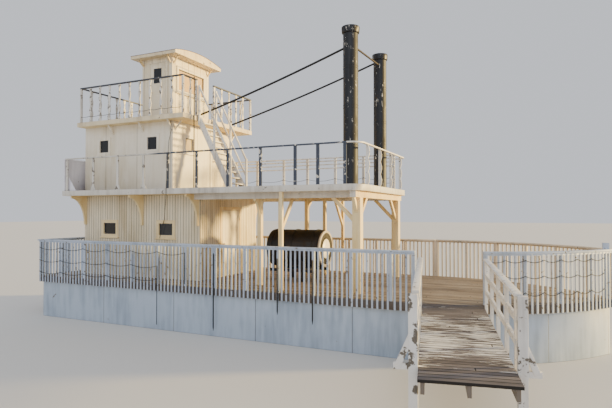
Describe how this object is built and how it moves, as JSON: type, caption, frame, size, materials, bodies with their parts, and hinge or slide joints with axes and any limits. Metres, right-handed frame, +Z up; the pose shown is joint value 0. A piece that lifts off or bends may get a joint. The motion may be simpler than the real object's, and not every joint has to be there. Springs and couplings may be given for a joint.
{
  "type": "paddle steamer",
  "caption": "Small timber river steamboat with decks, deckhouse, texas cabin, pilothouse, boiler, tall chimneys, railings, stern paddle wheel and boarding gangway.",
  "frame": {"origin": "centre of the hull's flat bottom, on the centreline at the middle of the hull's straight length, where the boat stands", "axes": "+X towards the bow, +Y to port, +Z up"},
  "size_m": [16.2344, 9.2281, 7.95],
  "materials": {
    "hull_paint": "weathered pale blue-grey paint on flat boards",
    "deck_planks": "bare weathered planks",
    "white_timber": "flaking white paint",
    "cream_timber": "cream paint, flaking at the edges",
    "boiler_iron": "dull black",
    "boiler_front_iron": "dull worn paint",
    "chimney_paint": "black paint with chips and rust",
    "roof_felt": "white boards under a dark red-brown cover",
    "gangway_planks": "weathered grey planks with worn white paint",
    "wheel_timber": "worn red-brown paint"
  },
  "bodies": {
    "steamer": {"hull": "hull_paint", "main_deck": "deck_planks", "main_rail_starboard": "white_timber", "gangway_rail_return": "white_timber", "main_rail_port": "white_timber", "main_rail_stern": "white_timber", "bow_rail_starboard": "white_timber", "bow_rail_port": "white_timber", "deckhouse_wall_starboard": "cream_timber", "deckhouse_wall_front": "cream_timber", "deckhouse_wall_port": "cream_timber", "deckhouse_wall_aft": "cream_timber", "boiler_deck": "cream_timber", "front_post_starboard": "cream_timber", "front_post_port": "cream_timber", "mid_post_starboard": "cream_timber", "mid_post_port": "cream_timber", "inner_frame_starboard": "cream_timber", "inner_frame_port": "cream_timber", "boiler_barrel": "boiler_iron", "boiler_front": "boiler_front_iron", "boiler_cradle": "boiler_iron", "chimney_starboard": "chimney_paint", "chimney_stay_starboard": "cream_timber", "chimney_port": "chimney_paint", "chimney_stay_port": "cream_timber", "chimney_tie": "chimney_paint", "boiler_rail_starboard": "white_timber", "boiler_rail_port": "white_timber", "boiler_rail_front": "white_timber", "boiler_rail_stern": "white_timber", "texas_wall_starboard": "cream_timber", "texas_wall_front": "cream_timber", "texas_wall_port": "cream_timber", "texas_wall_aft": "cream_timber", "texas_deck": "cream_timber", "texas_rail_starboard": "white_timber", "texas_rail_port": "white_timber", "texas_rail_aft": "white_timber", "texas_rail_front_port": "white_timber", "texas_rail_front_starboard": "white_timber", "texas_stair": "cream_timber", "stair_handrail_starboard": "cream_timber", "stair_handrail_port": "cream_timber", "pilothouse_wall_starboard": "cream_timber", "pilothouse_wall_front": "cream_timber", "pilothouse_wall_port": "cream_timber", "pilothouse_wall_aft": "cream_timber", "pilothouse_roof": "roof_felt", "gangway_deck": "gangway_planks", "gangway_handrail_fore": "white_timber", "gangway_post_fore": "white_timber", "gangway_handrail_aft": "white_timber", "gangway_post_aft": "white_timber", "wheel_timber_starboard": "hull_paint", "wheel_timber_port": "hull_paint"},
    "deckhouse_door": {"deckhouse_door": "cream_timber"},
    "texas_door": {"texas_door": "cream_timber"},
    "pilothouse_door": {"pilothouse_door": "cream_timber"},
    "paddle_wheel": {"paddle_wheel": "wheel_timber"}
  },
  "joints": [
    {"name": "deckhouse_door_hinge", "type": "hinge", "parent": "steamer", "child": "deckhouse_door", "pos_m": [-2.329, 0.454, 2.2], "axis": [0, 0, 1], "range_deg": [0, 110]},
    {"name": "texas_door_hinge", "type": "hinge", "parent": "steamer", "child": "texas_door", "pos_m": [-3.279, 1.024, 4.6], "axis": [0, 0, 1], "range_deg": [0, 110]},
    {"name": "pilothouse_door_hinge", "type": "hinge", "parent": "steamer", "child": "pilothouse_door", "pos_m": [-4.07, -0.931, 6.7], "axis": [0, 0, 1], "range_deg": [0, 110]},
    {"name": "paddle_wheel_spin", "type": "hinge", "parent": "steamer", "child": "paddle_wheel", "pos_m": [-8.17, 0, 0.58], "axis": [0, 1, 0], "continuous": true}
  ]
}
